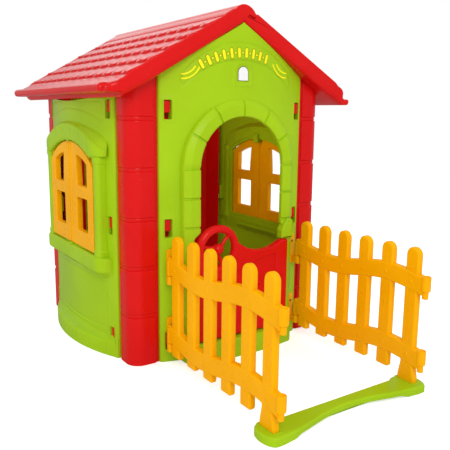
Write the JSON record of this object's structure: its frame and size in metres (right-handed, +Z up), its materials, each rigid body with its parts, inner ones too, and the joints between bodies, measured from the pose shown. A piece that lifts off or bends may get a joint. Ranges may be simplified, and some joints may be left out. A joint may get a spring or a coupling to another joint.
{
  "type": "plastic playhouse",
  "caption": "Child's moulded plastic playhouse with gabled tile roof, half door with moulded steering wheel, shuttered side windows and a small picket-fenced yard.",
  "frame": {"origin": "on the ground, at the centre of the whole footprint, house and fenced yard together", "axes": "+X to the right of someone facing the door, +Y from the yard to the back of the house, +Z up"},
  "size_m": [1.1471, 1.84, 1.388],
  "materials": {
    "green_plastic": "glossy lime green moulded polyethylene",
    "red_plastic": "glossy red moulded polyethylene",
    "yellow_plastic": "glossy orange-yellow moulded polyethylene",
    "screw_steel": "dull zinc-plated steel",
    "white_label": "printed vinyl label",
    "yellow_label": "printed vinyl label"
  },
  "bodies": {
    "house": {"front_wall": "green_plastic", "back_wall": "green_plastic", "left_wall": "green_plastic", "right_wall": "green_plastic", "ground_sill": "green_plastic", "column_front_left": "red_plastic", "column_front_right": "red_plastic", "column_back_left": "red_plastic", "column_back_right": "red_plastic", "roof_left": "red_plastic", "roof_right": "red_plastic", "left_bracket_lower": "yellow_plastic", "left_bracket_upper": "yellow_plastic", "right_bracket_lower": "yellow_plastic", "right_bracket_upper": "yellow_plastic", "bracket_screws": "screw_steel", "sign_plaque": "white_label", "sign_decals": "yellow_label"},
    "door": {"door": "red_plastic"},
    "left_front_leaf": {"left_wall_front_leaf": "yellow_plastic"},
    "left_rear_leaf": {"left_wall_rear_leaf": "yellow_plastic"},
    "right_front_leaf": {"right_wall_front_leaf": "yellow_plastic"},
    "right_rear_leaf": {"right_wall_rear_leaf": "yellow_plastic"},
    "left_fence_panel": {"left_fence": "yellow_plastic"},
    "right_fence_panel": {"right_fence": "yellow_plastic"}
  },
  "joints": [
    {"name": "door_hinge", "type": "hinge", "parent": "house", "child": "door", "pos_m": [0.205, -0.248, 0.084], "axis": [0, 0, 1], "range_deg": [0, 90]},
    {"name": "left_front_leaf_hinge", "type": "hinge", "parent": "house", "child": "left_front_leaf", "pos_m": [-0.5055, 0.0715, 0.418], "axis": [0, 0, 1], "range_deg": [0, 90]},
    {"name": "left_rear_leaf_hinge", "type": "hinge", "parent": "house", "child": "left_rear_leaf", "pos_m": [-0.5055, 0.5475, 0.418], "axis": [0, 0, -1], "range_deg": [0, 90]},
    {"name": "right_front_leaf_hinge", "type": "hinge", "parent": "house", "child": "right_front_leaf", "pos_m": [0.5055, 0.0715, 0.418], "axis": [0, 0, -1], "range_deg": [0, 90]},
    {"name": "right_rear_leaf_hinge", "type": "hinge", "parent": "house", "child": "right_rear_leaf", "pos_m": [0.5055, 0.5475, 0.418], "axis": [0, 0, 1], "range_deg": [0, 90]},
    {"name": "left_fence_lift", "type": "slide", "parent": "house", "child": "left_fence_panel", "axis": [0, 0, 1], "range_m": [0, 0.07]},
    {"name": "right_fence_lift", "type": "slide", "parent": "house", "child": "right_fence_panel", "axis": [0, 0, 1], "range_m": [0, 0.07]}
  ]
}
